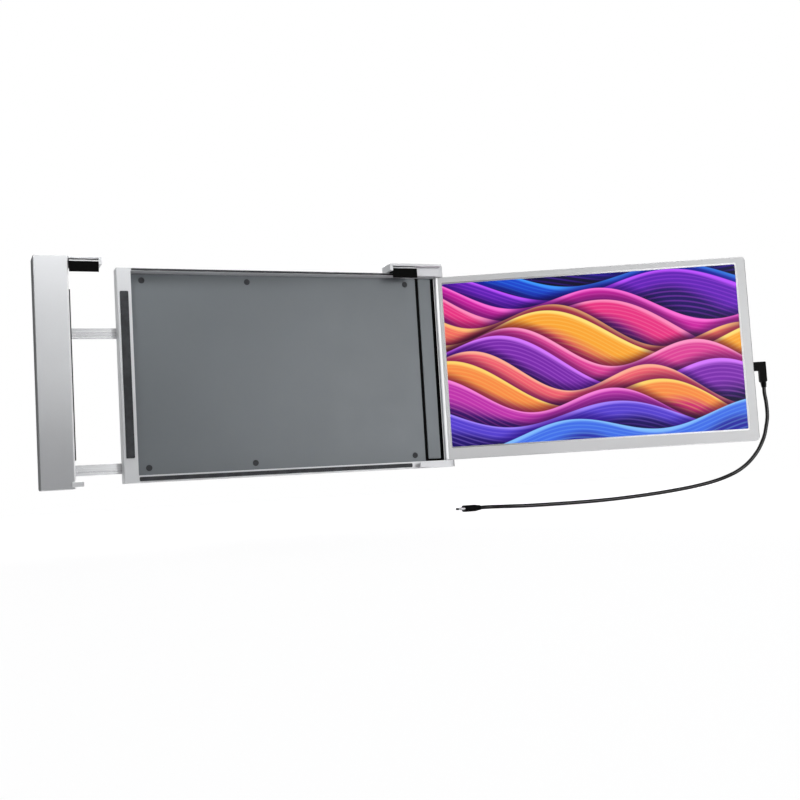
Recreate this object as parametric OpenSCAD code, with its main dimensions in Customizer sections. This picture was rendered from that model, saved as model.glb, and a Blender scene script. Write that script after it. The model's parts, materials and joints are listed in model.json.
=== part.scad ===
// Clip-on laptop screen extender: a shallow base that hangs on the back of a laptop's lid,
// one hinged 14 inch screen beside the lid, a sliding arm for wider or narrower lids,
// two spring-loaded top clips, two lower hooks and a fold-down stand.
// Frame: +X right along the lid, +Y away from the user, +Z up. The origin is on the face
// that the lid's back rests against, in the middle of the lower seat strip.

/* [Laptop lid] */
// Width of the laptop lid that the part is set to
lid_w = 347.5; // [320:0.5:360]
// Thickness of the laptop lid
lid_t = 6; // [4.5:0.5:7]

/* [Screen] */
// Width of the display area
display_w = 310; // [290:1:330]
// Height of the display area
display_h = 174.4; // [160:0.2:186]
// Frame width on the hinge side
bezel_hinge_w = 8.8; // [8:0.2:14]
// Frame width on the free side
bezel_free_w = 10.8; // [8:0.2:14]
// Frame height above the display
bezel_top_h = 7.5; // [6:0.5:12]
// Frame height below the display
bezel_bottom_h = 13.1; // [10:0.1:18]
// Thickness of the screen
screen_t = 9; // [8.6:0.1:10]
// Corner radius of the screen's free end
screen_corner_r = 4.6; // [1:0.2:6]
// Thickness of the front frame
bezel_t = 1.2; // [0.9:0.1:1.4]
// Width of the bright bevel around the display
bevel_w = 1.7; // [0.8:0.1:2]
// Corner radius of the display's window
window_r = 1.2; // [0.4:0.1:3]
// Wall of the screen's rear cover
cover_wall = 1.5; // [1:0.1:2]
// Angle by which the screen is swung towards the user
screen_angle = 25.3; // [0:0.1:60]

/* [Base] */
// Height of the lower bar and of the lower ear
bar_h = 7; // [6:0.5:10]
// Thickness of the upper rim
upper_rim_h = 2.7; // [2.4:0.1:4]
// Thickness of the base's back skin
skin_t = 1.6; // [1.2:0.1:2.4]
// Depth of the space behind the floor panel
cavity_d = 3.2; // [3.2:0.1:5]
// Thickness of the floor panel
floor_t = 1; // [0.8:0.1:1.5]
// Thickness of the wall at the free end
end_wall = 13.5; // [10:0.5:20]
// Distance of the hinge's axis from the lid's edge
hinge_out = 35.2; // [32:0.1:40]
// Radius of the ears' front corner
ear_r = 8; // [3:0.5:10]
// Width of the grey plate on the upright between the ears
upright_w = 14.2; // [10:0.2:18]
// Diameter of the hinge pins
pin_d = 3.6; // [3:0.1:4]

/* [Left arm] */
// Width of the left panel
panel_w = 31.3; // [30.4:0.1:44]
// Height of the left panel
panel_h = 217.1; // [214.5:0.1:225]
// Wall of the left panel
panel_wall = 2.2; // [1.6:0.1:3]
// Height of the slide rails
rail_h = 10; // [7:0.5:12]
// Thickness of the slide rails
rail_t = 2.6; // [2:0.1:2.6]
// Travel of the arm outwards
arm_out = 16; // [8:1:20]

/* [Clips and hooks] */
// Thickness of the clips' top plate
plate_t = 2.5; // [2:0.1:4]
// Thickness of the clips' end wall
clip_wall = 3.1; // [2:0.1:4]
// Width of the clips' jaws
jaw_w = 26.9; // [22:0.1:30]
// Thickness of the jaw's lip
lip_t = 2.2; // [1.8:0.1:3]
// Depth to which the lip reaches over the lid's front
lip_reach = 5.8; // [4:0.1:8]
// Thickness of the rubber lining
lining_t = 0.8; // [0.5:0.1:1.2]
// Travel of the clips upwards
clip_lift = 8; // [6:0.5:9]
// Height of the lower hooks
hook_h = 4.8; // [3:0.2:6]
// Thickness of the hooks' tab
hook_t = 2; // [1.4:0.1:3]
// Reach of the hooks over the lid
hook_reach = 4.8; // [3:0.1:6]

/* [Stand] */
// Width of the stand's plate
stand_w = 120; // [80:2:130]
// Length of the stand from its hinge
stand_l = 89.5; // [60:0.5:92]
// Thickness of the stand's plate
stand_t = 1.8; // [1.4:0.1:2]

/* [Connections] */
// Diameter of the cord
cord_d = 3.9; // [3:0.1:4]
// Height of the plug's stem
stem_h = 9.3; // [8:0.1:11]
// Height of the angled plug's body
plug_h = 21.9; // [16:0.1:26]
// Width of the angled plug's body
plug_w = 7.4; // [6.6:0.1:10]
// Thickness of the plugs
plug_t = 6.4; // [5:0.1:7.4]

/* [Hidden] */
$fn = 64;

// Colours
silver = [0.80, 0.81, 0.83];
dark_silver = [0.50, 0.52, 0.54];
black_plastic = [0.05, 0.05, 0.055];
rubber_grey = [0.12, 0.12, 0.13];
steel = [0.62, 0.63, 0.65];
magenta = [0.72, 0.10, 0.55];

// Clearances
over = 0.5;              // how far a cut runs past a face
layer = 0.01;            // thin slice that a hull starts or ends with
body_gap = 0.3;          // between pieces that move past each other
ear_gap = 0.4;           // between the screen's ends and the ears
guide_gap = 0.15;        // between a sliding bar and its guide
pin_gap = 0.05;          // round a turning pin
seat_gap = 0.02;         // round a fixed pin
fold_setback = 3.5;      // folded screen behind the seat's face
floor_gap = 0.7;         // folded screen before the floor panel
recess_gap = 0.75;       // free end of the folded screen to the end wall
barrel_gap = 2.3;        // hinge barrel to the upright
groove_w = 3.5;          // groove between the floor panel and the upright's plate
flange_w = 4.4;          // flange of the upright behind the hinge barrel

// Base, front to back
strip_t = 1;
rim_y = strip_t;
hinge_y = fold_setback + screen_t / 2;
floor_y = hinge_y + screen_t / 2 + floor_gap;
cavity_y = floor_y + floor_t;
skin_y = cavity_y + cavity_d;
back_y = skin_y + skin_t;
front_y = -lid_t - lining_t - lip_t;

// Heights
bar_z1 = bar_h / 2;
bar_z0 = -bar_z1;
screen_h = bezel_bottom_h + display_h + bezel_top_h;
screen_z0 = bar_z1 + ear_gap;
screen_z1 = screen_z0 + screen_h;
display_z0 = screen_z0 + bezel_bottom_h;
display_z1 = display_z0 + display_h;
ear_z0 = screen_z1 + ear_gap;
rim_z1 = ear_z0 + upper_rim_h;
lid_z1 = rim_z1 - 0.6;
plate_z0 = rim_z1 + 6.1;
plate_z1 = plate_z0 + plate_t;
web_z0 = lid_z1 + 0.5 + lining_t;
lip_z0 = lid_z1 - lip_reach;
ledge = 1.3;

// Widths
lid_x = lid_w / 2;
hinge_x = lid_x + hinge_out;
barrel_r = screen_t / 2;
axis_in = bezel_hinge_w - barrel_r;
display_x0 = axis_in;
reach = display_w + bezel_free_w + axis_in;
recess_x0 = hinge_x - reach - recess_gap;
base_x0 = recess_x0 - end_wall;
base_x1 = hinge_x - barrel_r - barrel_gap;
upright_x0 = base_x1 - upright_w;
ear_x0 = lid_x + 3.5;
ear_x1 = hinge_x + 5.25;
cavity_x0 = recess_x0 + 6;
cavity_z0 = bar_z1 + ledge;
cavity_z1 = ear_z0 - ledge;

// Left panel
panel_x1 = -lid_x - 1.4;
panel_x0 = panel_x1 - panel_w;
panel_z1 = plate_z1 + 0.3;
panel_z0 = panel_z1 - panel_h;
panel_y0 = -lid_t - 0.5;
panel_cover_y = skin_y - body_gap;
boss_half = 4;
back_screw_in = 6;
back_screw_rise = 8;
rail_screw_in = 9;

// Slide rails. The lower one runs above the cavity's floor and above the panel's lowest boss.
rail_z0 = max(cavity_z0 + 1.3, panel_z0 + back_screw_rise + boss_half + body_gap);
rail_z = [rail_z0 + rail_h / 2, ear_z0 * 0.705];
rail_y0 = panel_cover_y - rail_t;
rail_x0 = panel_x0 + panel_wall + 2;
rail_stop_w = 4;
rail_stop_h = rail_h + 1.6;
rail_x1 = cavity_x0 + arm_out + body_gap + rail_stop_w;
guide_l = 6;
guide_wall = 1.2;
guide_x0 = base_x0 + 2;
base_corner_r = 3;

// Clips
right_clip_in = 25.8;
left_clip_in = 29.2;
clip_right_x = lid_x - right_clip_in;
clip_left_x = -lid_x + left_clip_in;
clip_back_y = 14;
plate_x1 = ear_x1 - 7.6;
blade_w = 16;
blade_t = 2.2;
blade_l = 48;
blade_y = skin_y - body_gap * 2 - blade_t;
blade_right_x = clip_right_x + 10;
blade_left_x = panel_x0 + panel_wall + 8;
blade_z0 = plate_z0 - blade_l;
window_w = 4.4;
window_z0 = blade_z0 + 5;
spring_l = 26;
spring_r = 1;
spring_wire_r = 0.25;
spring_turns = 8;
post_w = 1.8;
spring_z1 = window_z0 + 36;
spring_z0 = spring_z1 - spring_l;

// Lower hooks. The left one sits near the panel's lower end.
left_hook_rise = 6.5;
right_hook_z0 = 2 - hook_h;
left_hook_z0 = panel_z0 + left_hook_rise - hook_h;
hook_pad_t = 0.4;
hook_y1 = -lid_t - hook_pad_t;

// Stand
stand_axis_y = skin_y + 0.2;
stand_axis_z = 24;
stand_pin_r = 0.8;
knuckle_r = 1.4;
knuckle_w = 8;
pocket_gap = 0.4;
pocket_y = back_y - stand_t - 0.6;
trough_y = stand_axis_y - knuckle_r - body_gap;
trough_z0 = stand_axis_z - 5;
stand_foot_h = 3;
notch_r = 9;

// Screen, in its own frame: x along the screen from the hinge's axis, y to its back
split_y = -barrel_r + bezel_t;
cover_y = barrel_r - cover_wall;
inside_x1 = reach - cover_wall;
inside_z0 = screen_z0 + cover_wall;
inside_z1 = screen_z1 - cover_wall;
window_lip = 0.3;
bevel_y = split_y - window_lip;
lcd_t = 2.4;
lcd_over = 0.5;
inside_x0 = display_x0 - lcd_over - 0.1;
plate_back_t = 0.8;
sleeve_r = 2.9;
sleeve_l = 14;
board_margin = 3;
board_w = 53.4;
board_up = 60;
board_down = 56;
board_x0 = inside_x1 - board_margin - board_w;
speaker_l = 42;
speaker_h = 9;
speaker_in = 53;
speaker_out = 35;
speaker_x = [display_x0 + speaker_in, display_x0 + display_w - speaker_l - speaker_out];
used_socket_drop = 109.7;
free_socket_drop = 88;
socket_z = [display_z1 - used_socket_drop, display_z1 - free_socket_drop];
socket_w = 8.94;
socket_t = 3.16;
socket_l = 7.4;
socket_wall = 0.3;
board_y = socket_t / 2;
tip_w = 8.2;
tip_t = 2.42;
hdmi_drop = 70;
hdmi_z = display_z1 - hdmi_drop;
key_drop = 26;
key_pitch = 12;
key_z = [for (i = [0 : 2]) display_z1 - key_drop - i * key_pitch];
key_h = 8;
key_w = 2.4;
key_proud = 0.7;
key_travel = 0.5;
key_flange = 1;

// Plug on the screen
stem_x0 = reach + 0.3;
stem_x1 = reach + 5.8;
body_x1 = stem_x1 + plug_w;
stem_z1 = socket_z[0] + stem_h / 2;
body_z0 = stem_z1 - plug_h;
relief_x = stem_x1 + plug_w / 2 + 0.25;

// The cord's centre line, from the angled plug's relief to the far plug's relief.
// Its lowest stretch lies on the surface that the laptop stands on.
surface_z = -50;
cord_points = [
    [511.7, -135.1, 59.3], [511.7, -135.1, 53], [512.3, -135.7, 44.5], [512.5, -135.9, 35.3],
    [511.8, -136, 27], [509.7, -135.5, 18], [507.1, -135, 9.3], [502.7, -134.5, 0.8],
    [496.9, -133.5, -7.6], [489, -132, -15.9], [480, -130.5, -22.6], [468, -128, -28.8],
    [448.5, -125, -34.8], [425, -120.5, -39.2], [399.5, -116, -42.3], [374, -111.5, -44.6],
    [348.5, -107, -46.3], [323.5, -102.5, -47.4], [297.5, -97.5, -47.9], [272, -93, -48],
    [248, -89, -47.9], [228.5, -85.5, -47.4], [212, -81, -46.9], [205, -80, -46.8],
    [198, -80, -46.8]
];
relief_l = body_z0 - cord_points[0].z;
far_x = 198;
far_y = -80;
far_z = surface_z + plug_t / 2;
far_relief_l = 5.5;
far_body_l = 12.5;

// ---------- helpers ----------

// Rectangle with a radius of its own at each corner, counted from the lower left
module corner_rect(x0, y0, x1, y1, r = [0, 0, 0, 0]) {
    polygon(concat(
        r[0] > 0 ? [[x0, y0 + r[0]], [x0 + r[0], y0]] : [[x0, y0]],
        r[1] > 0 ? [[x1 - r[1], y0], [x1, y0 + r[1]]] : [[x1, y0]],
        r[2] > 0 ? [[x1, y1 - r[2]], [x1 - r[2], y1]] : [[x1, y1]],
        r[3] > 0 ? [[x0 + r[3], y1], [x0, y1 - r[3]]] : [[x0, y1]]
    ));
    if (r[0] > 0) translate([x0 + r[0], y0 + r[0]]) circle(r[0]);
    if (r[1] > 0) translate([x1 - r[1], y0 + r[1]]) circle(r[1]);
    if (r[2] > 0) translate([x1 - r[2], y1 - r[2]]) circle(r[2]);
    if (r[3] > 0) translate([x0 + r[3], y1 - r[3]]) circle(r[3]);
}

module block(x0, x1, y0, y1, z0, z1) {
    translate([x0, y0, z0]) cube([x1 - x0, y1 - y0, z1 - z0]);
}

// Extrudes a Y-Z outline along X
module along_x(x0, x1) {
    translate([x0, 0, 0]) rotate([90, 0, 90]) linear_extrude(x1 - x0) children();
}

// Extrudes an X-Z outline along Y
module along_y(y0, y1) {
    translate([0, y1, 0]) rotate([90, 0, 0]) linear_extrude(y1 - y0) children();
}

// Extrudes an X-Y outline along Z
module along_z(z0, z1) {
    translate([0, 0, z0]) linear_extrude(z1 - z0) children();
}

// Puts a piece of the screen where the swung screen holds it
module on_screen() {
    translate([hinge_x, hinge_y, 0]) rotate([0, 0, -screen_angle]) children();
}

// Slot outline with round ends, centred, longer along Y
module pill(long, wide) {
    square([wide, long - wide], center = true);
    for (side = [-1, 1]) translate([0, side * (long - wide) / 2]) circle(d = wide);
}

// Countersunk screw pointing along -Y, its head flush at y = 0
module screw(head_r, shank_r, length) {
    rotate([90, 0, 0]) {
        difference() {
            cylinder(r = head_r, h = 1);
            translate([0, 0, -over]) cylinder(r = head_r * 0.42, h = 0.5 + over, $fn = 6);
        }
        translate([0, 0, 1]) cylinder(r = shank_r, h = length - 1);
    }
}

// ---------- base ----------

base_screw_places = [
    [base_x0 + 6, ear_z0 * 0.5], [base_x0 + 6, ear_z0 * 0.86], [base_x0 + 6, ear_z0 * 0.25],
    [upright_x0 + upright_w / 2, ear_z0 * 0.12], [upright_x0 + upright_w / 2, ear_z0 * 0.5],
    [upright_x0 + upright_w / 2, ear_z0 * 0.88]
];
screw_head_r = 2.4;
screw_shank_r = 1.1;
screw_l = 4.2;

module base_outline() {
    corner_rect(base_x0, rim_y, base_x1, back_y, [1, 0, 0, base_corner_r]);
}

module stand_pocket() {
    half = stand_w / 2 + pocket_gap;
    along_y(pocket_y, back_y + over)
        corner_rect(-half, trough_z0, half, stand_axis_z + stand_l + pocket_gap, [1, 1, 4, 4]);
    block(-half, half, trough_y, back_y + over, trough_z0, stand_axis_z + knuckle_r + 1);
    translate([0, pocket_y, stand_axis_z + stand_l]) rotate([-90, 0, 0])
        cylinder(r = notch_r, h = back_y);
}

module base_shell() color(silver) {
    pocket_half = stand_w / 2 + pocket_gap + skin_t;
    rib_z0 = rail_z[0] + rail_stop_h / 2 + 12.9;
    rib_z = stand_axis_z + stand_l + notch_r + skin_t;
    difference() {
        union() {
            difference() {
                along_z(bar_z0, rim_z1) base_outline();
                // recess for the folded screen, open to the front and to the hinge
                block(recess_x0, base_x1 + over, -over, cavity_y, bar_z1, ear_z0);
                // space behind the floor panel
                block(cavity_x0, base_x1 + over, cavity_y - over, skin_y, cavity_z0, cavity_z1);
                block(upright_x0 - groove_w, base_x1 + over, cavity_y - over, skin_y, bar_z1, ear_z0);
                // room for the ears
                block(ear_x0, base_x1 + over, -over, back_y + over, bar_z0 - over, bar_z1);
                block(ear_x0, base_x1 + over, -over, back_y + over, ear_z0, rim_z1 + over);
            }
            // back of the stand's pocket
            block(-pocket_half, pocket_half, trough_y - skin_t + 0.4, back_y - over,
                trough_z0 - skin_t, stand_axis_z + knuckle_r + 1 + skin_t);
            block(-pocket_half, pocket_half, pocket_y - skin_t + 0.2, back_y - over,
                trough_z0, rib_z);
            // ribs that carry the floor panel
            for (x = [cavity_x0 + 20, pocket_half + 16, blade_right_x - 20, upright_x0 - groove_w - 5])
                block(x, x + skin_t, cavity_y, skin_y + over, rib_z0, rib_z);
            block(-pocket_half, upright_x0 - groove_w - 5 + over, cavity_y, skin_y + over,
                rib_z - skin_t, rib_z);
            block(-pocket_half, blade_right_x - 20 + over, cavity_y, skin_y + over,
                spring_z0, spring_z0 + skin_t);
            // guide ribs beside the clip's blade
            for (side = [0, 1])
                translate([blade_right_x + (side ? blade_w + guide_gap : -guide_gap - 1.8), 0, 0])
                    block(0, 1.8, cavity_y, skin_y + over, rib_z - over, cavity_z1 + over);
        }
        stand_pocket();
        // slot for the clip's blade through the upper rim
        block(blade_right_x - guide_gap, blade_right_x + blade_w + guide_gap, cavity_y, skin_y,
            cavity_z1 - over, rim_z1 + over);
        for (z = rail_z) {
            block(base_x0 - over, cavity_x0 + over, rail_y0 - 2 * guide_gap,
                panel_cover_y + 2 * guide_gap,
                z - rail_h / 2 - 2 * guide_gap, z + rail_h / 2 + 2 * guide_gap);
            block(guide_x0, guide_x0 + guide_l, rail_y0 - guide_gap - guide_wall,
                panel_cover_y + guide_gap + guide_wall,
                z - rail_h / 2 - guide_gap - guide_wall, z + rail_h / 2 + guide_gap + guide_wall);
        }
        for (p = base_screw_places) translate([p[0], back_y, p[1]]) {
            rotate([90, 0, 0]) translate([0, 0, -over]) cylinder(r = screw_head_r + seat_gap, h = 1 + over);
            rotate([90, 0, 0]) cylinder(r = screw_shank_r + seat_gap, h = screw_l);
        }
    }
    // anchor for the clip's spring
    spring_post(blade_right_x + blade_w / 2, skin_y);
    // knuckles that hold the stand's pin
    for (x = [-stand_w / 2, -knuckle_w / 2, stand_w / 2 - knuckle_w]) difference() {
        union() {
            block(x, x + knuckle_w, trough_y, stand_axis_y, stand_axis_z - knuckle_r,
                stand_axis_z + knuckle_r);
            translate([x, stand_axis_y, stand_axis_z]) rotate([0, 90, 0])
                cylinder(r = knuckle_r, h = knuckle_w, $fn = 32);
        }
        translate([x - over, stand_axis_y, stand_axis_z]) rotate([0, 90, 0])
            cylinder(r = stand_pin_r + seat_gap, h = knuckle_w + 2 * over, $fn = 32);
    }
}

// Square post that a clip's spring hooks on, standing on the wall at y1
module spring_post(x, y1) {
    block(x - post_w / 2, x + post_w / 2, blade_y, y1 + over, spring_z0 - post_w, spring_z0);
}

module floor_panel() color(dark_silver) {
    along_y(floor_y, cavity_y)
        corner_rect(recess_x0 + 0.4, bar_z1 + 0.4, upright_x0 - groove_w, ear_z0 - 0.4, [1, 1, 1, 1]);
}

// Black post between the ears. Its flange closes the gap behind the screen's hinge barrel.
module hinge_upright() color(black_plastic) {
    difference() {
        along_y(cavity_y, skin_y)
            corner_rect(upright_x0 - groove_w + 0.2, bar_z1, base_x1 + flange_w, ear_z0, [0.6, 0, 0, 0.6]);
        for (p = base_screw_places) if (p[0] > 0) translate([p[0], back_y, p[1]])
            rotate([90, 0, 0]) cylinder(r = screw_shank_r + seat_gap, h = screw_l + 0.2);
        ear_screw_bores();
    }
}

module upright_plate() color(dark_silver) {
    along_y(floor_y, cavity_y) corner_rect(upright_x0, bar_z1 + 2.6, base_x1, ear_z0 - 0.4, [1, 1, 1, 1]);
}

// Screws that hold the ears on the upright
ear_screw_r = 0.8;
ear_screw_head_r = 1.6;
ear_screw_x = upright_x0 + upright_w / 2;
ear_screw_y = skin_y - 1.2;
ear_screw_l = [12, 16];

module ear_screw_bores() {
    for (side = [0, 1]) translate([ear_screw_x, ear_screw_y, side ? plate_z1 : bar_z0])
        rotate([side ? 180 : 0, 0, 0]) {
            translate([0, 0, -over]) cylinder(r = ear_screw_head_r + seat_gap, h = 1 + over);
            cylinder(r = ear_screw_r + seat_gap, h = ear_screw_l[side]);
        }
}

module ear_screws() color(steel) {
    for (side = [0, 1]) translate([ear_screw_x, ear_screw_y, side ? plate_z1 : bar_z0])
        rotate([side ? 90 : -90, 0, 0]) screw(ear_screw_head_r, ear_screw_r, ear_screw_l[side]);
}

module ear_outline() {
    corner_rect(ear_x0, 0, ear_x1, back_y, [0, ear_r, 5, 0]);
}

module upper_ear() color(silver) {
    difference() {
        union() {
            along_z(ear_z0, plate_z0 - body_gap) ear_outline();
            along_z(plate_z0 - body_gap - over, plate_z1) difference() {
                ear_outline();
                translate([ear_x0 - over, -over])
                    square([plate_x1 + body_gap - ear_x0 + over, clip_back_y + body_gap + over]);
            }
        }
        translate([hinge_x, hinge_y, ear_z0 - over])
            cylinder(d = pin_d + 2 * seat_gap, h = plate_z0 - 1.1 - ear_z0 + over);
        ear_screw_bores();
    }
}

module lower_ear() color(silver) {
    difference() {
        along_z(bar_z0, bar_z1) ear_outline();
        translate([hinge_x, hinge_y, bar_z0 - over]) {
            cylinder(d = pin_d + 2 * seat_gap, h = bar_h + 2 * over);
            cylinder(d = pin_d + 2.4 + 2 * seat_gap, h = 1.2 + over);
        }
        ear_screw_bores();
    }
}

module hinge_pins() color(steel) {
    translate([hinge_x, hinge_y, 0]) {
        translate([0, 0, ear_z0 - sleeve_l + 1]) cylinder(d = pin_d, h = plate_z0 - 2.1 - ear_z0 + sleeve_l);
        translate([0, 0, bar_z0 + 1.2]) cylinder(d = pin_d, h = bar_h - 2.2 + sleeve_l);
        translate([0, 0, bar_z0]) difference() {
            cylinder(d = pin_d + 2.4, h = 1.2);
            translate([0, 0, -over]) cylinder(r = 1.1, h = 0.6 + over, $fn = 6);
        }
    }
}

module seat_strips() color(rubber_grey) {
    along_y(0, strip_t) {
        corner_rect(base_x0 + 14, -2, ear_x0 - 14, 2, [1, 1, 1, 1]);
        corner_rect(base_x0 + 14, ear_z0 + 0.3, ear_x0 - 14, ear_z0 + 2.1, [0.4, 0.4, 0.4, 0.4]);
        corner_rect(base_x0 + 2.5, ear_z0 * 0.1, base_x0 + 10.5, ear_z0 * 0.9, [1, 1, 1, 1]);
    }
}

module recess_bumpers() color(rubber_grey) {
    for (x = [recess_x0 + 12, 0, upright_x0 - groove_w - 12])
        for (z = [bar_z1 + 7, ear_z0 - 7])
            translate([x, floor_y, z]) rotate([90, 0, 0]) cylinder(r = 3, h = 0.4, $fn = 32);
}

// A hook's flat tab with its back at y1
module hook_tab(x0, x1, z0, y1) {
    along_y(y1 - hook_t, y1) corner_rect(x0, z0, x1, z0 + hook_h, [0.8, 0.8, 0.8, 0.8]);
}

module right_hook() color(silver) {
    hook_tab(lid_x - hook_reach, ear_x0 + 5, right_hook_z0, hook_y1);
    block(ear_x0 - 2, ear_x0 + 4.6, hook_y1 - over, 0,
        right_hook_z0 + 0.4, right_hook_z0 + hook_h - 0.4);
}

module right_hook_pad() color(rubber_grey) {
    block(lid_x - hook_reach + 0.5, ear_x0 - 2.2, hook_y1, -lid_t,
        right_hook_z0 + 0.6, right_hook_z0 + hook_h - 0.6);
}

module slide_guides() color(black_plastic) {
    for (z = rail_z) difference() {
        block(guide_x0, guide_x0 + guide_l, rail_y0 - guide_gap - guide_wall,
            panel_cover_y + guide_gap + guide_wall,
            z - rail_h / 2 - guide_gap - guide_wall, z + rail_h / 2 + guide_gap + guide_wall);
        block(guide_x0 - over, guide_x0 + guide_l + over, rail_y0 - guide_gap,
            panel_cover_y + guide_gap, z - rail_h / 2 - guide_gap, z + rail_h / 2 + guide_gap);
    }
}

module base_screws() color(steel) {
    for (p = base_screw_places) translate([p[0], back_y, p[1]])
        screw(screw_head_r, screw_shank_r, screw_l);
}

module rear_feet() color(rubber_grey) {
    for (x = [base_x0 + 22, base_x1 - 16]) for (z = [16, ear_z0 - 14])
        translate([x, back_y, z]) rotate([-90, 0, 0]) {
            cylinder(r = 5, h = 0.8);
            translate([0, 0, 0.8]) cylinder(r1 = 5, r2 = 4, h = 0.7);
        }
}

module stand_pin() color(steel) {
    translate([-stand_w / 2, stand_axis_y, stand_axis_z]) rotate([0, 90, 0])
        cylinder(r = stand_pin_r, h = stand_w, $fn = 32);
}

// ---------- springs ----------

function coil_point(turn, r) = [r * cos(360 * turn), r * sin(360 * turn)];

// A coil spring along +Z from z = 0 with a four-sided wire, ground flat by its end turns
module coil_spring(length, r, wire_r, turns) {
    steps = 9;
    n = turns * steps;
    pitch = (length - 2 * wire_r) / turns;
    rings = [for (i = [0 : n]) let (t = i / steps, p = coil_point(t, 1))
        for (c = [[1, 0], [0, 1], [-1, 0], [0, -1]])
            [p[0] * (r + wire_r * c[0]), p[1] * (r + wire_r * c[0]),
                wire_r + pitch * t + wire_r * c[1]]];
    faces = concat(
        [[3, 2, 1, 0]],
        [for (i = [0 : n - 1]) for (k = [0 : 3]) for (f = [0, 1])
            let (a = 4 * i + k, b = 4 * i + (k + 1) % 4)
            f ? [b, b + 4, a + 4] : [b, a + 4, a]],
        [[4 * n, 4 * n + 1, 4 * n + 2, 4 * n + 3]]
    );
    polyhedron(rings, faces, convexity = 10);
}

module right_clip_spring() color(steel) {
    translate([blade_right_x + blade_w / 2, blade_y + blade_t / 2, spring_z0])
        coil_spring(spring_l, spring_r, spring_wire_r, spring_turns);
}

module left_clip_spring() color(steel) {
    translate([blade_left_x + blade_w / 2, blade_y + blade_t / 2, spring_z0])
        coil_spring(spring_l, spring_r, spring_wire_r, spring_turns);
}

// ---------- left arm ----------

arm_screw_places = [
    [panel_x0 + back_screw_in, panel_z0 + back_screw_rise], [panel_x0 + back_screw_in, blade_z0 - 6],
    [panel_x1 - rail_screw_in, rail_z[0]], [panel_x1 - rail_screw_in, rail_z[1]]
];

module panel_outline() {
    difference() {
        corner_rect(panel_x0, panel_y0, panel_x1, back_y, [0.9, 0, 3, 4]);
        polygon([[panel_x1 - 1.3, panel_y0], [panel_x1 + 1, panel_y0 - 1], [panel_x1 + 1, panel_y0 + 1.2],
            [panel_x1, panel_y0 + 1.2]]);
    }
}

module left_panel() color(silver) {
    inner_x0 = panel_x0 + panel_wall;
    inner_x1 = panel_x1 - panel_wall;
    difference() {
        intersection() {
            along_z(panel_z0, panel_z1) panel_outline();
            along_y(panel_y0, panel_cover_y)
                corner_rect(panel_x0, panel_z0, panel_x1, panel_z1, [2, 1, 1, 1.5]);
        }
        block(inner_x0, inner_x1, panel_y0 + panel_wall, back_y,
            panel_z0 + panel_wall, panel_z1 - panel_wall);
        // opening in the top for the clip's plate
        block(clip_plate_left_x0 - body_gap, panel_x1 + over, panel_y0 + panel_wall, back_y,
            plate_z0 - body_gap, panel_z1 + over);
        // slots for the rails
        for (z = rail_z) block(inner_x1 - over, panel_x1 + over, rail_y0, back_y,
            z - rail_h / 2, z + rail_h / 2);
    }
    // bosses for the back's screws
    for (i = [0, 1]) translate([arm_screw_places[i][0], 0, arm_screw_places[i][1]])
        difference() {
            intersection() {
                block(-boss_half - 1, boss_half, panel_y0 + panel_wall, panel_cover_y,
                    -boss_half, boss_half);
                block(panel_x0 + panel_wall / 2 - arm_screw_places[i][0], boss_half, panel_y0, back_y,
                    -boss_half, boss_half);
            }
            translate([0, back_y, 0]) rotate([90, 0, 0])
                cylinder(r = screw_shank_r + seat_gap, h = screw_l + 1);
        }
    // feet that hold the rails from the front
    for (z = rail_z) difference() {
        block(panel_x1 - 16, inner_x1 + over, panel_y0 + panel_wall - over, rail_y0,
            z - boss_half, z + boss_half);
        translate([panel_x1 - rail_screw_in, back_y, z]) rotate([90, 0, 0])
            cylinder(r = screw_shank_r + seat_gap, h = screw_l + 3);
    }
}

module left_panel_back() color(silver) {
    difference() {
        union() {
            intersection() {
                along_z(panel_z0, panel_z1) panel_outline();
                along_y(panel_cover_y, back_y)
                    corner_rect(panel_x0, panel_z0, panel_x1, panel_z1, [2, 1, 1, 1.5]);
            }
            // guide ribs beside the clip's blade
            for (side = [0, 1])
                translate([blade_left_x + (side ? blade_w + guide_gap : -guide_gap - 1.8), 0, 0])
                    block(0, 1.8, blade_y - body_gap, panel_cover_y + over,
                        blade_z0 + 4, plate_z0 - 1);
            // straps that keep the blade from leaving the guide
            for (z = [blade_z0 + 6, plate_z0 - 10])
                block(blade_left_x - guide_gap - 1.8, blade_left_x + blade_w + guide_gap + 1.8,
                    blade_y - body_gap - 1.4, blade_y - body_gap, z, z + 5);
        }
        for (p = arm_screw_places) translate([p[0], back_y, p[1]]) {
            rotate([90, 0, 0]) translate([0, 0, -over]) cylinder(r = screw_head_r + seat_gap, h = 1 + over);
            rotate([90, 0, 0]) cylinder(r = screw_shank_r + seat_gap, h = screw_l);
        }
    }
    // anchor for the clip's spring
    spring_post(blade_left_x + blade_w / 2, panel_cover_y);
}

module slide_rails() color(steel) {
    for (z = rail_z) difference() {
        union() {
            block(rail_x0, rail_x1, rail_y0, panel_cover_y, z - rail_h / 2, z + rail_h / 2);
            block(rail_x1 - rail_stop_w, rail_x1, rail_y0, panel_cover_y,
                z - rail_stop_h / 2, z + rail_stop_h / 2);
        }
        translate([panel_x1 - rail_screw_in, back_y, z]) rotate([90, 0, 0])
            cylinder(r = screw_shank_r + seat_gap, h = back_y);
    }
}

module arm_screws() color(steel) {
    for (i = [0 : 3]) translate([arm_screw_places[i][0], back_y, arm_screw_places[i][1]])
        screw(screw_head_r, screw_shank_r, i < 2 ? screw_l : screw_l + 2);
}

module left_hook() color(silver) {
    hook_tab(panel_x1 - 3.8, -lid_x + hook_reach + 0.7, left_hook_z0, panel_y0);
}

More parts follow.
